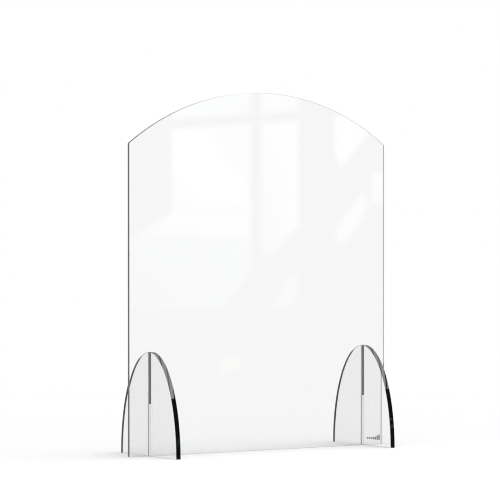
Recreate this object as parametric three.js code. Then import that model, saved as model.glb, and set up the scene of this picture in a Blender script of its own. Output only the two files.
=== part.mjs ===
// A free-standing desk privacy panel of clear acrylic sheet, in millimetres, +Z up.
//
// One upright panel with straight sides and an arched top stands across two identical feet. Each foot is
// a half-ellipse plate at right angles to the panel. A slot open at the panel's bottom edge and a slot open
// at the foot's crown slide into each other (a cross-lap joint), so the panel lifts straight up off its feet.
//
// The origin is on the desk, under the middle of the panel. +X runs along the panel, -Y towards the
// person it faces, and the panel's middle plane is Y = 0.

import * as THREE from "three";

const PANEL_WIDTH = 600;
const PANEL_THICKNESS = 6;
const SIDE_HEIGHT = 600; // desk to the panel's top corners
const ARCH_RISE = 100; // top corners to the crown of the arch

const FOOT_LENGTH = 200; // front to back
const FOOT_HEIGHT = 200;
const FOOT_THICKNESS = 10;
const FOOT_INSET = 44; // panel's end to the foot's outer face

const JOINT_HEIGHT = 100; // where the two slots of a cross-lap joint meet
const CLEARANCE = 0.3; // gap between sheets that pass through each other, on each side

const ARCH_SEGMENTS = 32; // three.js draws each arc of an outline with twice this many straight edges
const FOOT_SEGMENTS = 20;

const clearAcrylic = new THREE.MeshStandardMaterial({
  color: 0xeef3f3,
  roughness: 0.05,
  metalness: 0,
  transparent: true,
  opacity: 0.3,
});

// A sheet cut from an outline, with its middle plane on the outline's own plane.
function sheet(name, outline, thickness, segments) {
  const geometry = new THREE.ExtrudeGeometry(outline, {
    depth: thickness,
    bevelEnabled: false,
    curveSegments: segments,
  });
  geometry.translate(0, 0, -thickness / 2);
  const mesh = new THREE.Mesh(geometry, clearAcrylic.clone());
  mesh.name = name;
  return mesh;
}

// The distance from the panel's middle to a foot's middle plane.
function footOffset() {
  return PANEL_WIDTH / 2 - FOOT_INSET - FOOT_THICKNESS / 2;
}

// The panel's outline, with x along the panel and y up: straight sides under a circular arch, and one slot
// for each foot, open at the bottom edge.
function panelOutline() {
  const half = PANEL_WIDTH / 2;
  const halfSlot = FOOT_THICKNESS / 2 + CLEARANCE;
  const slotTop = JOINT_HEIGHT + CLEARANCE / 2;
  const radius = (half ** 2 + ARCH_RISE ** 2) / (2 * ARCH_RISE);
  const centreHeight = SIDE_HEIGHT + ARCH_RISE - radius;
  const rightCorner = Math.atan2(SIDE_HEIGHT - centreHeight, half);

  const outline = new THREE.Shape();
  outline.moveTo(-half, 0);
  for (const middle of [-footOffset(), footOffset()]) {
    outline.lineTo(middle - halfSlot, 0);
    outline.lineTo(middle - halfSlot, slotTop);
    outline.lineTo(middle + halfSlot, slotTop);
    outline.lineTo(middle + halfSlot, 0);
  }
  outline.lineTo(half, 0);
  outline.absarc(0, centreHeight, radius, rightCorner, Math.PI - rightCorner, false);
  outline.closePath();
  return outline;
}

// A foot's outline, with x from front to back and y up: half an ellipse on a flat base, with a slot for the
// panel, open at the crown.
function footOutline() {
  const half = FOOT_LENGTH / 2;
  const halfSlot = PANEL_THICKNESS / 2 + CLEARANCE;
  const slotBottom = JOINT_HEIGHT - CLEARANCE / 2;
  const slotEdge = Math.acos(halfSlot / half); // the ellipse's own angle where the slot cuts it

  const outline = new THREE.Shape();
  outline.moveTo(half, 0);
  outline.absellipse(0, 0, half, FOOT_HEIGHT, 0, slotEdge, false, 0);
  outline.lineTo(halfSlot, slotBottom);
  outline.lineTo(-halfSlot, slotBottom);
  outline.absellipse(0, 0, half, FOOT_HEIGHT, Math.PI - slotEdge, Math.PI, false, 0);
  outline.closePath();
  return outline;
}

function panel() {
  const mesh = sheet("panel", panelOutline(), PANEL_THICKNESS, ARCH_SEGMENTS);
  mesh.rotation.set(Math.PI / 2, 0, 0); // outline x to X, y to Z
  return mesh;
}

function foot(name, x) {
  const mesh = sheet(name, footOutline(), FOOT_THICKNESS, FOOT_SEGMENTS);
  mesh.rotation.set(Math.PI / 2, Math.PI / 2, 0); // outline x to Y, y to Z, thickness to X
  mesh.position.x = x;
  return mesh;
}

const group = new THREE.Group();
group.add(panel(), foot("left_foot", -footOffset()), foot("right_foot", footOffset()));

export default group;
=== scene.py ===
"""Looks of the clear acrylic desk privacy panel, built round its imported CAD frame, in metres, +Z up."""

import math

import bmesh
import bpy
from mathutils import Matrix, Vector


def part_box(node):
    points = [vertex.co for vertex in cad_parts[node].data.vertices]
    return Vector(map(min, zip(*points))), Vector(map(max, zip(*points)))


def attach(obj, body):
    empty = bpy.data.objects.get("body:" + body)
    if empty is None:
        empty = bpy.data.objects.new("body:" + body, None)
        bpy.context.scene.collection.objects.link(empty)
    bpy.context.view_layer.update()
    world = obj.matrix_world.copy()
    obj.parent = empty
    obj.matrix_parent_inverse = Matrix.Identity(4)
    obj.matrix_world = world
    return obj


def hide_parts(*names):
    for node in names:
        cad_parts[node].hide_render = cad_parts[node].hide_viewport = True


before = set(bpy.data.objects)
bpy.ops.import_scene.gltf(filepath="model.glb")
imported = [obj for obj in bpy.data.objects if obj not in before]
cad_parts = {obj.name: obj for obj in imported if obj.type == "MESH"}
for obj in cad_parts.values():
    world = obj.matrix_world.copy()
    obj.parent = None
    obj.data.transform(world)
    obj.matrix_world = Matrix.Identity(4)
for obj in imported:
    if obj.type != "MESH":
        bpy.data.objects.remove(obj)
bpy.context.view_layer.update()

# The object, as the CAD has it
SIDE_HEIGHT = 0.6  # desk to the panel's top corners
JOINT_HEIGHT = 0.1  # where the two slots of a cross-lap joint meet
CLEARANCE = 0.0003  # between sheets that pass through each other, on each side

# How its sheets are cut
CHAMFER = 0.0001  # eased edge between a face and the cut
CORNER = 0.0005  # radius at an outline's corners
CORNER_STEPS = 4
CORNER_TURN = math.radians(12)  # where an outline turns less than this, it is a curve and not a corner
INSET_LIMIT = 0.3  # keeps the point of a very sharp corner from moving too far when an outline is inset
UPRIGHT = 0.95  # the least rise of a stretch that counts as upright, for its length
ARCH_STEPS = 220
FOOT_STEPS = 110
CELL = 0.02  # a face is divided into cells about this wide
SAME_POINT = 1e-6  # a cut this close to a point goes through it

# What its acrylic does to light
IOR = 1.49  # cast acrylic
SURFACE_TINT = (0.995, 0.995, 0.995, 1)
BULK_COLOUR = (0.72, 0.86, 0.84, 1)  # what a long way through it leaves
BULK_DENSITY = 1.3  # per metre

# How even its surfaces are: (size across, height) of what the light bends on, in metres
CASTING_WAVES = (0.07, 5e-6)  # in the faces, from casting
POLISH_RIPPLES = (0.0012, 1.5e-6)  # across a flame-polished edge
SAW_MARKS = (0.0005, 6e-6)  # on a slot's matt wall
INK_GRAIN = (0.0004, 3e-6)  # in the printed mark

NOISE_SPREAD = (0.25, 0.75)  # what most of the unevenness lies between
GRAIN_SPREAD = (0.3, 0.7)

# How matt they are: least and most roughness
FACE_HAZE = (0.0, 0.012)
EDGE_HAZE = (0.0, 0.02)
SAWN_HAZE = (0.5, 0.7)
INK_HAZE = (0.4, 0.6)

# Painted glow: how brightly the sawn slot walls and the panel's end edges glow, an emission that stands in
# for light that the sheets have gathered and let out there
SAWN_PAINTED_GLOW = 0.3
STRONGER_SAWN_PAINTED_GLOW = 0.6
EDGE_PAINTED_GLOW = 0.13

# The plain printed mark on the right foot's inner face, (front to back, up) from the foot's front corner
MARK_START = (0.037, 0.0135)
MARK_BAR = (0.0038, 0.0036)
MARK_CORNER = MARK_BAR[0] / 5
MARK_PITCH = 0.0064
MARK_RISES = (0.0072, 0.0048, 0.0024, 0.0012, 0.0, 0.0, 0.0)  # how much taller each bar is
MARK_FILM = 0.00004
INK_DARK = (0.012, 0.012, 0.014, 1)
INK_LIGHT = (0.05, 0.05, 0.055, 1)

# Camera
AZIMUTH = math.radians(33.717)  # to the left of the panel's front
DISTANCE = 6.50527
SIDESTEP = 0.01782  # to the left of the line through the origin
HEIGHT = 0.52451
PITCH = math.radians(1.16065)  # downwards
LENS = 239.2

# Floor
FLOOR_RADIUS = 2.3
FLOOR_SIDES = 96
FLOOR_DROP = 0.0002  # keeps it clear of the sheets' undersides
FLOOR_FADE = (1.0, 2.2)  # from the origin, where it runs out into the sweep
FLOOR_WHITE = 0.8
FLOOR_FRONT_PAINTED_LIGHT_WHITE = 0.86  # painted light: whiter on the side of the panel that faces the camera, to lift the panel's shade there
FLOOR_PAINTED_LIGHT_REACH = 0.12  # the painted light reaches that white this far in front of the panel
FLOOR_LIGHT = 1.002  # what the open floor sends back, so that it just meets the white of the sweep

# Light
WHITE_LIGHT = FLOOR_LIGHT / FLOOR_WHITE
KEY_SHARE = 0.36  # of the light on the floor. The rest falls evenly from all round
KEY_ELEVATION = math.radians(72)
KEY_AZIMUTH = math.radians(40)  # to the right of the panel's front
KEY_ANGLE = math.radians(40)

# The room that mirror-like surfaces see: (from, to, level at the first, level at the second). Sides and
# ahead go by how far a direction points the camera's way, foot and below by how far it points up.
ROOM_SIDES = (-0.4, 0.4, 0.13, 0.33)
ROOM_AHEAD = (0.4, 0.75, 0.0, 0.67)  # added to the sides
ROOM_FOOT = (-0.25, -0.1, 0.35, 1.0)  # times the sides
ROOM_BELOW = (-0.9, -0.6, 0.9, 0.0)  # only for what mirrors it from outside
GUIDED_LIGHT = 0.2  # what is left of the room's light after each further turn inside a sheet

# The window that the panel mirrors to the camera
WINDOW_REACH = 10.5  # from the camera by way of the panel to the window
PANE_STEP = 0.01  # each pane stands this far in front of the one before
PANE_SOFTNESS = 0.011  # how far a pane's edge fades, to each side
PLAIN = (0.98, 1.0, 1.0)
PALE_GREEN = (0.9, 1.06, 1.0)
GREENISH = (0.8, 1.06, 0.94)
BLUISH = (0.9, 0.95, 1.1)
WARM = (1.2, 1.0, 0.56)
# Each pane is (its corners from the window's middle, in metres; how bright each corner is; its tint)
PANES = (
    (
        ((-0.245, 0.535), (0, 0.535), (0, 0.43), (-0.245, 0.415)),
        (1.0, 0.8, 0.75, 1.0),
        PALE_GREEN,
    ),
    (
        ((-0.25, 0.38), (0, 0.4), (0, 0.115), (-0.245, 0.115)),
        (1.05, 0.8, 0.85, 0.9),
        PLAIN,
    ),
    (
        (
            (-0.24, 0.37),
            (-0.14, 0.375),
            (-0.01, 0.2),
            (-0.01, 0.14),
            (-0.14, 0.14),
            (-0.19, 0.17),
            (-0.24, 0.255),
        ),
        (1.15,) * 7,
        PLAIN,
    ),
    (
        ((-0.245, 0.12), (0, 0.12), (0, 0.03), (-0.385, 0.03), (-0.315, 0.075)),
        (1.0, 1.0, 0.95, 0.5, 0.75),
        PLAIN,
    ),
    (
        ((-0.39, 0.03), (0, 0.03), (0, -0.07), (-0.09, -0.185), (-0.39, -0.185)),
        (0.45, 0.65, 0.6, 0.45, 0.3),
        GREENISH,
    ),
    (
        ((0.035, 0.535), (0.149, 0.535), (0.149, 0.44), (0.035, 0.43)),
        (0.9,) * 4,
        PLAIN,
    ),
    (
        ((0.035, 0.4), (0.149, 0.405), (0.149, 0.075), (0.065, -0.02), (0.035, -0.02)),
        (0.95, 1.05, 0.95, 0.6, 0.5),
        PLAIN,
    ),
    (
        ((0.265, 0.415), (0.29, 0.435), (0.385, 0.385), (0.285, 0.26), (0.265, 0.305)),
        (1.1,) * 5,
        PLAIN,
    ),
    (
        (
            (0.355, 0.18),
            (0.365, 0.135),
            (0.335, 0.07),
            (0.29, 0.02),
            (0.27, 0.03),
            (0.27, 0.065),
            (0.3, 0.115),
        ),
        (0.9,) * 7,
        BLUISH,
    ),
    (
        ((0.38, 0.24), (0.425, 0.24), (0.425, 0.145), (0.38, 0.145)),
        (1.0, 1.0, 0.7, 0.7),
        PLAIN,
    ),
    (
        ((0.135, -0.07), (0.15, -0.09), (0.15, -0.135), (0.12, -0.185), (0.065, -0.185), (0.105, -0.115)),
        (0.55,) * 6,
        BLUISH,
    ),
    (
        ((-0.106, -0.36), (-0.07, -0.328), (-0.028, -0.333), (-0.035, -0.368), (-0.08, -0.39)),
        (0.5,) * 5,
        WARM,
    ),
)


# ---------------------------------------------------------------- outlines


def arc_points(centre, radii, start, end, steps):
    """Points on an ellipse from one of its angles to another, both ends included."""
    return [
        Vector(
            (
                centre[0] + radii[0] * math.cos(start + (end - start) * i / steps),
                centre[1] + radii[1] * math.sin(start + (end - start) * i / steps),
            )
        )
        for i in range(steps + 1)
    ]


def rounded(points, radius):
    """The closed outline with each sharp corner turned into a small arc. A point is added just outside each
    end of an arc, so that its curve doesn't reach into the straight runs beside it."""
    out = []
    n = len(points)
    for i, p in enumerate(points):
        before = (points[i - 1] - p).normalized()
        after = (points[(i + 1) % n] - p).normalized()
        turn = math.pi - before.angle(after)
        if turn < CORNER_TURN:
            out.append(p)
            continue
        reach = radius * math.tan(turn / 2)
        middle = p + (before + after).normalized() * (radius / math.cos(turn / 2))
        axis = (p - middle).normalized()
        side = Vector((-axis.y, axis.x))
        if side.dot(after - before) < 0:
            side = -side
        out.append(p + before * (reach + radius))
        for k in range(CORNER_STEPS + 1):
            a = turn * (k / CORNER_STEPS - 0.5)
            out.append(middle + (axis * math.cos(a) + side * math.sin(a)) * radius)
        out.append(p + after * (reach + radius))
    return out


def inset(points, distance):
    """The outline moved inwards by a distance, or outwards where it is negative."""
    out = []
    n = len(points)
    for i, p in enumerate(points):
        a = (p - points[i - 1]).normalized()
        b = (points[(i + 1) % n] - p).normalized()
        outward = Vector((a.y, -a.x))
        mean = Vector((a.y + b.y, -a.x - b.x)).normalized()
        out.append(p - mean * (distance / max(mean.dot(outward), INSET_LIMIT)))
    return out


def panel_outline(box, feet):
    """The panel's outline, x along the panel and y up, counter-clockwise."""
    half, top = box[1].x, box[1].z
    rise = top - SIDE_HEIGHT
    radius = (half**2 + rise**2) / (2 * rise)
    centre = (0, top - radius)
    corner = math.atan2(SIDE_HEIGHT - centre[1], half)
    slot_top = JOINT_HEIGHT + CLEARANCE / 2
    points = [(-half, 0)]
    for low, high in feet:
        left, right = low.x - CLEARANCE, high.x + CLEARANCE
        points += [(left, 0), (left, slot_top), (right, slot_top), (right, 0)]
    points += [(half, 0)]
    points = [Vector(p) for p in points]
    points += arc_points(centre, (radius, radius), corner, math.pi - corner, ARCH_STEPS)
    return rounded(points, CORNER)


def foot_outline(box, thickness):
    """A foot's outline, x from front to back and y up, counter-clockwise, with a slot for a panel of that
    thickness."""
    half = box[1].y
    slot = thickness / 2 + CLEARANCE
    slot_edge = math.acos(slot / half)
    height = box[1].z / math.sin(slot_edge)
    slot_bottom = JOINT_HEIGHT - CLEARANCE / 2
    points = arc_points((0, 0), (half, height), 0, slot_edge, FOOT_STEPS)
    points += [Vector((slot, slot_bottom)), Vector((-slot, slot_bottom))]
    points += arc_points((0, 0), (half, height), math.pi - slot_edge, math.pi, FOOT_STEPS)
    return rounded(points, CORNER)


# ---------------------------------------------------------------- meshes


def object_of(name, bm, materials):
    """A new object in the scene, with that mesh and those materials."""
    mesh = bpy.data.meshes.new(name)
    bm.to_mesh(mesh)
    bm.free()
    for material in materials:
        mesh.materials.append(material)
    made = bpy.data.objects.new(name, mesh)
    bpy.context.scene.collection.objects.link(made)
    return made


def divide(bm):
    """Cuts a mesh into cells along the axes, so that its wide faces are no longer single polygons."""
    for axis in range(3):
        ends = [v.co[axis] for v in bm.verts]
        low, high = min(ends), max(ends)
        count = round((high - low) / CELL)
        for i in range(1, count):
            spot, way = Vector((0, 0, 0)), Vector((0, 0, 0))
            spot[axis] = low + (high - low) * i / count
            way[axis] = 1
            parts = bm.verts[:] + bm.edges[:] + bm.faces[:]
            bmesh.ops.bisect_plane(bm, geom=parts, plane_co=spot, plane_no=way, dist=SAME_POINT)


def sheet(name, outline, thickness, place, materials, finish):
    """A flat sheet with eased edges. place(x, y, z) puts a point of the outline's plane, z across the sheet,
    in the frame. Its faces have material 0, and finish(middle, way) gives the material of a stretch of its
    cut edge, by its middle and its direction."""
    bm = bmesh.new()
    run = bm.verts.layers.float.new("run")
    lengths = [0.0]
    for a, b in zip(outline, outline[1:]):
        lengths.append(lengths[-1] + (b - a).length)
    rows = []
    for distance, depth in (
        (CHAMFER, 0),
        (0, CHAMFER),
        (0, thickness - CHAMFER),
        (CHAMFER, thickness),
    ):
        row = []
        for p, length in zip(inset(outline, distance), lengths):
            v = bm.verts.new(place(p.x, p.y, depth - thickness / 2))
            v[run] = length
            row.append(v)
        rows.append(row)
    n = len(outline)
    stretches = [(outline[i], outline[(i + 1) % n]) for i in range(n)]
    kinds = [finish((a + b) / 2, (b - a).normalized()) for a, b in stretches]
    for a, b in zip(rows, rows[1:]):
        for i in range(n):
            j = (i + 1) % n
            face = bm.faces.new((a[i], b[i], b[j], a[j]))
            face.material_index = kinds[i]
            face.smooth = True
    bm.faces.new(rows[0])
    bm.faces.new(list(reversed(rows[-1])))
    bmesh.ops.recalc_face_normals(bm, faces=bm.faces)
    for row in rows:
        for i in range(n):
            bm.edges.get((row[i], row[(i + 1) % n])).smooth = False
    divide(bm)
    return object_of(name, bm, materials)


# ---------------------------------------------------------------- nodes


def node(tree, kind, inputs=None, **settings):
    """A new node, with settings for its properties and inputs by name or number: a value or a socket."""
    made = tree.nodes.new(kind)
    for key, value in settings.items():
        setattr(made, key, value)
    for key, value in (inputs or {}).items():
        if isinstance(value, bpy.types.NodeSocket):
            tree.links.new(value, made.inputs[key])
        else:
            made.inputs[key].default_value = value
    return made


def maths(tree, operation, *values):
    return node(tree, "ShaderNodeMath", dict(enumerate(values)), operation=operation).outputs[0]


def mixed_number(tree, factor, a, b):
    """a, or b where the factor is 1."""
    return node(
        tree, "ShaderNodeMix", {"Factor": factor, "A": a, "B": b}, data_type="FLOAT"
    ).outputs[0]


def smooth_range(tree, value, lowest, highest, low=0.0, high=1.0):
    """low where the value is at its lowest, high where it is at its highest, and smoothly between them."""
    ranges = {"Value": value, "From Min": lowest, "From Max": highest, "To Min": low, "To Max": high}
    return node(tree, "ShaderNodeMapRange", ranges, interpolation_type="SMOOTHSTEP").outputs[0]


def new_material(name):
    material = bpy.data.materials.new(name)
    material.use_nodes = True
    material.node_tree.nodes.clear()
    return material, material.node_tree


def seen_by_mirror(tree):
    """1 for a path that a mirror-like surface has turned on its way from the camera, and no matt one."""
    path = node(tree, "ShaderNodeLightPath")
    return maths(
        tree,
        "MULTIPLY",
        maths(tree, "GREATER_THAN", path.outputs["Glossy Depth"], 0.5),
        maths(tree, "LESS_THAN", path.outputs["Diffuse Depth"], 0.5),
    )


# ---------------------------------------------------------------- materials


def acrylic(name, unevenness, striped=False, haze=(0.0, 0.0), glow=0.0):
    """Clear acrylic, uneven by (size across, height). A striped surface is uneven along its cut only, which
    the vertex attribute "run" measures. Lamps reach through it with what its surfaces let by at that angle.
    A glow is painted light: an emission, though the sheet is no lamp, that stands in for light that the
    sheet has gathered and lets out there."""
    material, tree = new_material(name)
    size, height = unevenness
    if striped:
        run = node(tree, "ShaderNodeAttribute", attribute_name="run").outputs["Fac"]
        noise = node(
            tree,
            "ShaderNodeTexNoise",
            {"W": run, "Scale": 1 / size, "Detail": 2.0, "Roughness": 0.6},
            noise_dimensions="1D",
        )
    else:
        place = node(tree, "ShaderNodeTexCoord").outputs["Object"]
        noise = node(
            tree,
            "ShaderNodeTexNoise",
            {"Vector": place, "Scale": 1 / size, "Detail": 1.0, "Roughness": 0.35},
        )
    bump = node(
        tree, "ShaderNodeBump", {"Height": noise.outputs[0], "Strength": 1.0, "Distance": height}
    )
    glass = node(
        tree,
        "ShaderNodeBsdfPrincipled",
        {
            "Base Color": SURFACE_TINT,
            "Roughness": smooth_range(tree, noise.outputs[0], *NOISE_SPREAD, *haze),
            "IOR": IOR,
            "Transmission Weight": 1.0,
            "Emission Strength": glow,
            "Normal": bump.outputs[0],
        },
    )
    material.cycles.emission_sampling = "NONE"

    # A shadow ray goes straight on, at the angle that it has in the air. The Fresnel node inverts its IOR
    # on the way out, so it is given an inverted one there, and works from the air's side at both surfaces.
    path = node(tree, "ShaderNodeLightPath")
    back = node(tree, "ShaderNodeNewGeometry").outputs["Backfacing"]
    ior = maths(tree, "ADD", IOR, maths(tree, "MULTIPLY", back, 1 / IOR - IOR))
    mirrored = node(tree, "ShaderNodeFresnel", {"IOR": ior}).outputs[0]
    through = maths(tree, "SUBTRACT", 1.0, mirrored)
    clear = node(tree, "ShaderNodeBsdfTransparent", {"Color": through})
    mixed = node(
        tree,
        "ShaderNodeMixShader",
        {0: path.outputs["Is Shadow Ray"], 1: glass.outputs[0], 2: clear.outputs[0]},
    )
    bulk = node(tree, "ShaderNodeVolumeAbsorption", {"Color": BULK_COLOUR, "Density": BULK_DENSITY})
    node(tree, "ShaderNodeOutputMaterial", {"Surface": mixed.outputs[0], "Volume": bulk.outputs[0]})
    return material


def ink_material():
    """Screen-printed ink: dark grey, a little uneven where it took to the sheet."""
    material, tree = new_material("ink")
    size, height = INK_GRAIN
    place = node(tree, "ShaderNodeTexCoord").outputs["Object"]
    grain = node(tree, "ShaderNodeTexNoise", {"Vector": place, "Scale": 1 / size, "Detail": 3.0}).outputs[0]
    colours = {"Factor": grain, "A": INK_DARK, "B": INK_LIGHT}
    bump = node(tree, "ShaderNodeBump", {"Height": grain, "Strength": 1.0, "Distance": height})
    ink = node(
        tree,
        "ShaderNodeBsdfPrincipled",
        {
            "Base Color": node(tree, "ShaderNodeMix", colours, data_type="RGBA").outputs[2],
            "Roughness": smooth_range(tree, grain, *GRAIN_SPREAD, *INK_HAZE),
            "Normal": bump.outputs[0],
        },
    )
    node(tree, "ShaderNodeOutputMaterial", {"Surface": ink.outputs[0]})
    return material


def floor_material():
    """Matt white that runs out into the sweep, with painted light that makes it whiter just in front of the
    panel. Mirrors see the room in its place.
    """
    material, tree = new_material("floor_white")
    position = node(tree, "ShaderNodeNewGeometry").outputs["Position"]
    away = node(tree, "ShaderNodeVectorMath", {0: position}, operation="LENGTH").outputs["Value"]
    gone = maths(tree, "MAXIMUM", seen_by_mirror(tree), smooth_range(tree, away, *FLOOR_FADE))
    depth = node(tree, "ShaderNodeSeparateXYZ", {0: position}).outputs["Y"]
    # Painted light: the floor's white rises in front of the panel, over the shade that the panel casts there
    white_with_painted_light = smooth_range(tree, depth, -FLOOR_PAINTED_LIGHT_REACH, 0.0, FLOOR_FRONT_PAINTED_LIGHT_WHITE, FLOOR_WHITE)
    white = node(tree, "ShaderNodeBsdfDiffuse", {"Color": white_with_painted_light})
    clear = node(tree, "ShaderNodeBsdfTransparent")
    mixed = node(tree, "ShaderNodeMixShader", {0: gone, 1: white.outputs[0], 2: clear.outputs[0]})
    node(tree, "ShaderNodeOutputMaterial", {"Surface": mixed.outputs[0]})
    return material


def window_material():
    """A glowing pane that only mirrors see, with the light of its corners and as solid as their cover."""
    material, tree = new_material("window_glow")
    cover = node(tree, "ShaderNodeAttribute", attribute_name="cover").outputs["Fac"]
    light = node(tree, "ShaderNodeAttribute", attribute_name="light").outputs["Color"]
    shown = maths(tree, "MULTIPLY", cover, seen_by_mirror(tree))
    glow = node(tree, "ShaderNodeEmission", {"Color": light})
    clear = node(tree, "ShaderNodeBsdfTransparent")
    mixed = node(tree, "ShaderNodeMixShader", {0: shown, 1: clear.outputs[0], 2: glow.outputs[0]})
    node(tree, "ShaderNodeOutputMaterial", {"Surface": mixed.outputs[0]})
    material.cycles.emission_sampling = "NONE"
    return material


# ---------------------------------------------------------------- the pieces

panel_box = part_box("panel")
left_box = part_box("left_foot")
right_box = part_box("right_foot")
panel_thickness = panel_box[1].y - panel_box[0].y
foot_thickness = left_box[1].x - left_box[0].x
foot_slot_wall = panel_thickness / 2 + CLEARANCE

finishes = (
    acrylic("acrylic_face", CASTING_WAVES, haze=FACE_HAZE),
    acrylic("acrylic_edge", POLISH_RIPPLES, striped=True, haze=EDGE_HAZE),
    # Rough sawn slot walls with a painted glow, stronger on the panel's than on the feet's
    acrylic("acrylic_sawn_painted_glow", SAW_MARKS, striped=True, haze=SAWN_HAZE, glow=SAWN_PAINTED_GLOW),
    acrylic("acrylic_sawn_stronger_painted_glow", SAW_MARKS, striped=True, haze=SAWN_HAZE, glow=STRONGER_SAWN_PAINTED_GLOW),
    # Polished edges with a painted glow, for the panel's two ends
    acrylic("acrylic_edge_painted_glow", POLISH_RIPPLES, striped=True, haze=EDGE_HAZE, glow=EDGE_PAINTED_GLOW),
)
EDGE, SAWN_WITH_PAINTED_GLOW, SAWN_WITH_STRONGER_PAINTED_GLOW, EDGE_WITH_PAINTED_GLOW = range(1, len(finishes))  # places in the finishes, after the faces'


def trailing_wall(middle, way, slots):
    """True on a slot's wall that faces the outline's low x."""
    return way.y < -UPRIGHT and middle.y > CORNER and any(low < middle.x < high for low, high in slots)


def panel_finish(middle, way):
    # The panel's two ends are polished edges with a painted glow
    if abs(middle.x) > panel_box[1].x - CORNER:
        return EDGE_WITH_PAINTED_GLOW
    slots = [(box[1].x, box[1].x + 2 * CLEARANCE) for box in (left_box, right_box)]
    # A slot wall facing low x is rough and sawn, with a stronger painted glow
    return SAWN_WITH_STRONGER_PAINTED_GLOW if trailing_wall(middle, way, slots) else EDGE


def foot_finish(middle, way):
    slots = [(foot_slot_wall - CLEARANCE, foot_slot_wall + CLEARANCE)]
    # A slot wall facing low x is rough and sawn, with a painted glow
    return SAWN_WITH_PAINTED_GLOW if trailing_wall(middle, way, slots) else EDGE


def bar_outline(low_y, height):
    """A bar of the mark with rounded corners, x from front to back and y up."""
    low_z = MARK_START[1]
    corners = [
        (low_y, low_z),
        (low_y + MARK_BAR[0], low_z),
        (low_y + MARK_BAR[0], low_z + height),
        (low_y, low_z + height),
    ]
    return rounded([Vector(c) for c in corners], MARK_CORNER)


def printed_bars():
    """A row of plain bars, printed on the right foot's face towards the middle."""
    bm = bmesh.new()
    face_x, front_y = right_box[0].x, right_box[0].y
    for number, rise in enumerate(MARK_RISES):
        flat = bar_outline(front_y + MARK_START[0] + MARK_PITCH * number, MARK_BAR[1] + rise)
        under = [bm.verts.new((face_x + MARK_FILM / 2, p.x, p.y)) for p in flat]
        over = [bm.verts.new((face_x - MARK_FILM / 2, p.x, p.y)) for p in flat]
        bm.faces.new(under)
        bm.faces.new(list(reversed(over)))
        for i in range(len(flat)):
            j = (i + 1) % len(flat)
            bm.faces.new((under[i], over[i], over[j], under[j]))
    bmesh.ops.recalc_face_normals(bm, faces=bm.faces)
    return object_of("printed_bars", bm, [ink_material()])


panel = sheet(
    "clear_panel",
    panel_outline(panel_box, (left_box, right_box)),
    panel_thickness,
    lambda x, y, z: (x, -z, y),
    finishes,
    panel_finish,
)
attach(panel, "panel")
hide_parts("panel")

for side, box in (("left", left_box), ("right", right_box)):
    middle_x = (box[0].x + box[1].x) / 2
    foot = sheet(
        f"clear_{side}_foot",
        foot_outline(box, panel_thickness),
        foot_thickness,
        lambda x, y, z, middle_x=middle_x: (middle_x + z, x, y),
        finishes,
        foot_finish,
    )
    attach(foot, f"{side}_foot")
    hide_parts(f"{side}_foot")

mark = printed_bars()
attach(mark, "right_foot")

# ---------------------------------------------------------------- studio

scene = bpy.context.scene
scene.view_settings.view_transform = "Standard"
scene.view_settings.look = "None"
scene.cycles.filter_width = 1.1  # pixels, for crisp edges
scene.cycles.glossy_bounces = 4  # light that turns more often inside a sheet is left out
scene.cycles.caustics_reflective = True
scene.cycles.caustics_refractive = True

ahead = Vector((math.sin(AZIMUTH), math.cos(AZIMUTH), 0))  # the camera's way, on the floor
aside = Vector((math.cos(AZIMUTH), -math.sin(AZIMUTH), 0))
up = Vector((0, 0, 1))


def studio_floor():
    bm = bmesh.new()
    bmesh.ops.create_circle(bm, cap_ends=True, segments=FLOOR_SIDES, radius=FLOOR_RADIUS)
    bmesh.ops.translate(bm, verts=bm.verts, vec=(0, 0, -FLOOR_DROP))
    return object_of("floor", bm, [floor_material()])


def room_light(tree, path):
    """The level of the room in a mirror: bright ahead of the camera, dim to the sides and behind it."""
    direction = node(tree, "ShaderNodeTexCoord").outputs["Generated"]
    along = node(
        tree, "ShaderNodeVectorMath", {0: direction, 1: ahead}, operation="DOT_PRODUCT"
    ).outputs["Value"]
    height = node(tree, "ShaderNodeSeparateXYZ", {0: direction}).outputs["Z"]
    sides = maths(
        tree, "MULTIPLY", smooth_range(tree, along, *ROOM_SIDES), smooth_range(tree, height, *ROOM_FOOT)
    )
    walls = maths(tree, "ADD", sides, smooth_range(tree, along, *ROOM_AHEAD))
    outside = maths(tree, "LESS_THAN", path.outputs["Transmission Depth"], 0.5)
    below = maths(tree, "MULTIPLY", outside, smooth_range(tree, height, *ROOM_BELOW))
    turns = maths(tree, "SUBTRACT", path.outputs["Glossy Depth"], 1.0)
    guided = maths(tree, "POWER", GUIDED_LIGHT, maths(tree, "MAXIMUM", turns, 0.0))
    return maths(tree, "MULTIPLY", guided, maths(tree, "MAXIMUM", walls, below))


def studio_world():
    """White to the camera and through the sheets, a room to mirrors, and an even fill to matt surfaces."""
    world = bpy.data.worlds.new("studio")
    world.use_nodes = True
    tree = world.node_tree
    tree.nodes.clear()
    path = node(tree, "ShaderNodeLightPath")
    is_lit = maths(tree, "GREATER_THAN", path.outputs["Diffuse Depth"], 0.5)
    is_mirrored = maths(tree, "GREATER_THAN", path.outputs["Glossy Depth"], 0.5)
    seen = mixed_number(tree, is_mirrored, 1.0, room_light(tree, path))
    level = mixed_number(tree, is_lit, seen, (1 - KEY_SHARE) * WHITE_LIGHT)
    glow = node(tree, "ShaderNodeBackground", {"Color": (1, 1, 1, 1), "Strength": level})
    node(tree, "ShaderNodeOutputWorld", {"Surface": glow.outputs[0]})
    world.cycles.sampling_method = "NONE"
    return world


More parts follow.
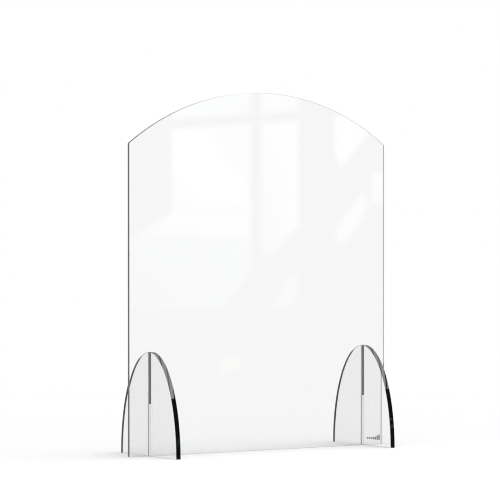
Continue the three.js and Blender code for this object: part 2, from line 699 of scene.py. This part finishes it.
def key_light():
    """A broad, soft lamp from high on the right, in front."""
    key = bpy.data.lights.new("key", "SUN")
    key.angle = KEY_ANGLE
    key.energy = math.pi * KEY_SHARE * WHITE_LIGHT / math.sin(KEY_ELEVATION)
    key.cycles.use_multiple_importance_sampling = False
    towards = Vector(
        (
            math.sin(KEY_AZIMUTH) * math.cos(KEY_ELEVATION),
            -math.cos(KEY_AZIMUTH) * math.cos(KEY_ELEVATION),
            math.sin(KEY_ELEVATION),
        )
    )
    made = bpy.data.objects.new("key", key)
    made.rotation_mode = "QUATERNION"
    made.rotation_quaternion = towards.to_track_quat("Z", "Y")
    scene.collection.objects.link(made)


def studio_camera():
    camera_data = bpy.data.cameras.new("camera")
    camera_data.sensor_width = 36
    camera_data.lens = LENS
    camera_data.clip_start = 0.1
    camera_data.clip_end = 200
    made = bpy.data.objects.new("camera", camera_data)
    made.location = -ahead * DISTANCE - aside * SIDESTEP + up * HEIGHT
    made.rotation_euler = (math.pi / 2 - PITCH, 0, -AZIMUTH)
    scene.collection.objects.link(made)
    return made


def mirrored_window(camera_place):
    """The window's panes, set up square to the camera's view where the panel mirrors it."""
    mirrored_camera = Vector((camera_place.x, -camera_place.y, camera_place.z))
    window_ahead = Vector((ahead.x, -ahead.y, -math.tan(PITCH))).normalized()
    window_aside = Vector((aside.x, -aside.y, 0))
    window_up = window_ahead.cross(window_aside)
    bm = bmesh.new()
    cover = bm.verts.layers.float.new("cover")
    light = bm.verts.layers.float_color.new("light")
    for number, (corners, levels, tint) in enumerate(PANES):
        corners = [Vector(c) for c in corners]
        turning = sum(a.x * b.y - a.y * b.x for a, b in zip(corners, corners[1:] + corners[:1]))
        if turning < 0:
            corners.reverse()
            levels = tuple(reversed(levels))
        reach = WINDOW_REACH - PANE_STEP * number
        rings = []
        for distance, covered in ((PANE_SOFTNESS, 1.0), (-PANE_SOFTNESS, 0.0)):
            ring = []
            for p, strength in zip(inset(corners, distance), levels):
                place = mirrored_camera + window_ahead * reach + window_aside * p.x + window_up * p.y
                v = bm.verts.new(place)
                v[cover] = covered
                v[light] = [strength * channel for channel in tint] + [1.0]
                ring.append(v)
            rings.append(ring)
        inner, outer = rings
        bm.faces.new(inner)
        for i in range(len(inner)):
            j = (i + 1) % len(inner)
            bm.faces.new((inner[i], inner[j], outer[j], outer[i]))
    return object_of("window", bm, [window_material()])


floor = studio_floor()
scene.world = studio_world()
key_light()
scene.camera = studio_camera()
window = mirrored_window(scene.camera.location)
